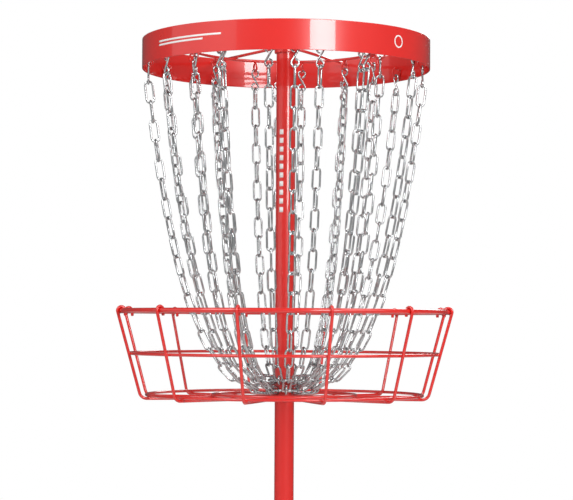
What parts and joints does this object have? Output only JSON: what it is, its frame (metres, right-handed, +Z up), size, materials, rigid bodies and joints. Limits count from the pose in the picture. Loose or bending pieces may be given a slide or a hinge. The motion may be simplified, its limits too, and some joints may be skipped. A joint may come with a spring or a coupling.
{
  "type": "disc golf basket",
  "caption": "Free-standing disc golf target: a pole on a ring base, a round wire basket, and a sheet band on top that holds two circles of hanging chains.",
  "frame": {"origin": "on the ground, under the middle of the pole", "axes": "+Z up along the pole, front towards -Y, +X to the right of a person who faces the front"},
  "size_m": [0.6589, 0.659, 1.3485],
  "materials": {
    "red_coat": "gloss",
    "zinc": "bright",
    "foot_rubber": "matte",
    "cap_plastic": "satin"
  },
  "bodies": {
    "frame": {"base_ring": "red_coat", "base_spokes": "red_coat", "base_socket": "red_coat", "lower_pole": "red_coat", "upper_pole": "red_coat", "basket_hub": "red_coat", "basket_rim": "red_coat", "basket_mid_ring": "red_coat", "basket_floor_ring": "red_coat", "basket_inner_ring": "red_coat", "band": "red_coat", "hanger_hub": "red_coat", "hanger_ring": "red_coat", "hanger_spokes": "red_coat", "outer_eyelets": "red_coat", "inner_eyelets": "red_coat", "basket_rib_01": "red_coat", "basket_rib_02": "red_coat", "basket_rib_03": "red_coat", "basket_rib_04": "red_coat", "basket_rib_05": "red_coat", "basket_rib_06": "red_coat", "basket_rib_07": "red_coat", "basket_rib_08": "red_coat", "basket_rib_09": "red_coat", "basket_rib_10": "red_coat", "basket_rib_11": "red_coat", "basket_rib_12": "red_coat", "gather_ring_lower": "zinc", "gather_ring_upper": "zinc", "outer_s_hooks": "zinc", "inner_s_hooks": "zinc", "base_feet": "foot_rubber", "pole_cap": "cap_plastic"},
    "outer_chain_01": {"outer_chain_01": "zinc"},
    "outer_chain_02": {"outer_chain_02": "zinc"},
    "outer_chain_03": {"outer_chain_03": "zinc"},
    "outer_chain_04": {"outer_chain_04": "zinc"},
    "outer_chain_05": {"outer_chain_05": "zinc"},
    "outer_chain_06": {"outer_chain_06": "zinc"},
    "outer_chain_07": {"outer_chain_07": "zinc"},
    "outer_chain_08": {"outer_chain_08": "zinc"},
    "outer_chain_09": {"outer_chain_09": "zinc"},
    "outer_chain_10": {"outer_chain_10": "zinc"},
    "outer_chain_11": {"outer_chain_11": "zinc"},
    "outer_chain_12": {"outer_chain_12": "zinc"},
    "inner_chain_01": {"inner_chain_01": "zinc"},
    "inner_chain_02": {"inner_chain_02": "zinc"},
    "inner_chain_03": {"inner_chain_03": "zinc"},
    "inner_chain_04": {"inner_chain_04": "zinc"},
    "inner_chain_05": {"inner_chain_05": "zinc"},
    "inner_chain_06": {"inner_chain_06": "zinc"},
    "inner_chain_07": {"inner_chain_07": "zinc"},
    "inner_chain_08": {"inner_chain_08": "zinc"},
    "inner_chain_09": {"inner_chain_09": "zinc"},
    "inner_chain_10": {"inner_chain_10": "zinc"},
    "inner_chain_11": {"inner_chain_11": "zinc"},
    "inner_chain_12": {"inner_chain_12": "zinc"}
  },
  "joints": [
    {"name": "outer_swing_01", "type": "hinge", "parent": "frame", "child": "outer_chain_01", "pos_m": [0.01654, -0.27039, 1.26343], "axis": [0.0229, -0.3748, 0.9268], "range_deg": [-15, 15]},
    {"name": "outer_swing_02", "type": "hinge", "parent": "frame", "child": "outer_chain_02", "pos_m": [0.14952, -0.2259, 1.26343], "axis": [0.2072, -0.3131, 0.9268], "range_deg": [-15, 15]},
    {"name": "outer_swing_03", "type": "hinge", "parent": "frame", "child": "outer_chain_03", "pos_m": [0.24244, -0.12087, 1.26343], "axis": [0.336, -0.1675, 0.9268], "range_deg": [-15, 15]},
    {"name": "outer_swing_04", "type": "hinge", "parent": "frame", "child": "outer_chain_04", "pos_m": [0.27039, 0.01654, 1.26343], "axis": [0.3748, 0.0229, 0.9268], "range_deg": [-15, 15]},
    {"name": "outer_swing_05", "type": "hinge", "parent": "frame", "child": "outer_chain_05", "pos_m": [0.2259, 0.14952, 1.26343], "axis": [0.3131, 0.2072, 0.9268], "range_deg": [-15, 15]},
    {"name": "outer_swing_06", "type": "hinge", "parent": "frame", "child": "outer_chain_06", "pos_m": [0.12087, 0.24244, 1.26343], "axis": [0.1675, 0.336, 0.9268], "range_deg": [-15, 15]},
    {"name": "outer_swing_07", "type": "hinge", "parent": "frame", "child": "outer_chain_07", "pos_m": [-0.01654, 0.27039, 1.26343], "axis": [-0.0229, 0.3748, 0.9268], "range_deg": [-15, 15]},
    {"name": "outer_swing_08", "type": "hinge", "parent": "frame", "child": "outer_chain_08", "pos_m": [-0.14952, 0.2259, 1.26343], "axis": [-0.2072, 0.3131, 0.9268], "range_deg": [-15, 15]},
    {"name": "outer_swing_09", "type": "hinge", "parent": "frame", "child": "outer_chain_09", "pos_m": [-0.24244, 0.12087, 1.26343], "axis": [-0.336, 0.1675, 0.9268], "range_deg": [-15, 15]},
    {"name": "outer_swing_10", "type": "hinge", "parent": "frame", "child": "outer_chain_10", "pos_m": [-0.27039, -0.01654, 1.26343], "axis": [-0.3748, -0.0229, 0.9268], "range_deg": [-15, 15]},
    {"name": "outer_swing_11", "type": "hinge", "parent": "frame", "child": "outer_chain_11", "pos_m": [-0.2259, -0.14952, 1.26343], "axis": [-0.3131, -0.2072, 0.9268], "range_deg": [-15, 15]},
    {"name": "outer_swing_12", "type": "hinge", "parent": "frame", "child": "outer_chain_12", "pos_m": [-0.12087, -0.24244, 1.26343], "axis": [-0.1675, -0.336, 0.9268], "range_deg": [-15, 15]},
    {"name": "inner_swing_01", "type": "hinge", "parent": "frame", "child": "inner_chain_01", "pos_m": [0.06396, -0.17572, 1.27543], "axis": [0.089, -0.2445, 0.9656], "range_deg": [-15, 15]},
    {"name": "inner_swing_02", "type": "hinge", "parent": "frame", "child": "inner_chain_02", "pos_m": [0.14325, -0.1202, 1.27543], "axis": [0.1993, -0.1672, 0.9656], "range_deg": [-15, 15]},
    {"name": "inner_swing_03", "type": "hinge", "parent": "frame", "child": "inner_chain_03", "pos_m": [0.18416, -0.03247, 1.27543], "axis": [0.2562, -0.0452, 0.9656], "range_deg": [-15, 15]},
    {"name": "inner_swing_04", "type": "hinge", "parent": "frame", "child": "inner_chain_04", "pos_m": [0.17572, 0.06396, 1.27543], "axis": [0.2445, 0.089, 0.9656], "range_deg": [-15, 15]},
    {"name": "inner_swing_05", "type": "hinge", "parent": "frame", "child": "inner_chain_05", "pos_m": [0.1202, 0.14325, 1.27543], "axis": [0.1672, 0.1993, 0.9656], "range_deg": [-15, 15]},
    {"name": "inner_swing_06", "type": "hinge", "parent": "frame", "child": "inner_chain_06", "pos_m": [0.03247, 0.18416, 1.27543], "axis": [0.0452, 0.2562, 0.9656], "range_deg": [-15, 15]},
    {"name": "inner_swing_07", "type": "hinge", "parent": "frame", "child": "inner_chain_07", "pos_m": [-0.06396, 0.17572, 1.27543], "axis": [-0.089, 0.2445, 0.9656], "range_deg": [-15, 15]},
    {"name": "inner_swing_08", "type": "hinge", "parent": "frame", "child": "inner_chain_08", "pos_m": [-0.14325, 0.1202, 1.27543], "axis": [-0.1993, 0.1672, 0.9656], "range_deg": [-15, 15]},
    {"name": "inner_swing_09", "type": "hinge", "parent": "frame", "child": "inner_chain_09", "pos_m": [-0.18416, 0.03247, 1.27543], "axis": [-0.2562, 0.0452, 0.9656], "range_deg": [-15, 15]},
    {"name": "inner_swing_10", "type": "hinge", "parent": "frame", "child": "inner_chain_10", "pos_m": [-0.17572, -0.06396, 1.27543], "axis": [-0.2445, -0.089, 0.9656], "range_deg": [-15, 15]},
    {"name": "inner_swing_11", "type": "hinge", "parent": "frame", "child": "inner_chain_11", "pos_m": [-0.1202, -0.14325, 1.27543], "axis": [-0.1672, -0.1993, 0.9656], "range_deg": [-15, 15]},
    {"name": "inner_swing_12", "type": "hinge", "parent": "frame", "child": "inner_chain_12", "pos_m": [-0.03247, -0.18416, 1.27543], "axis": [-0.0452, -0.2562, 0.9656], "range_deg": [-15, 15]}
  ]
}
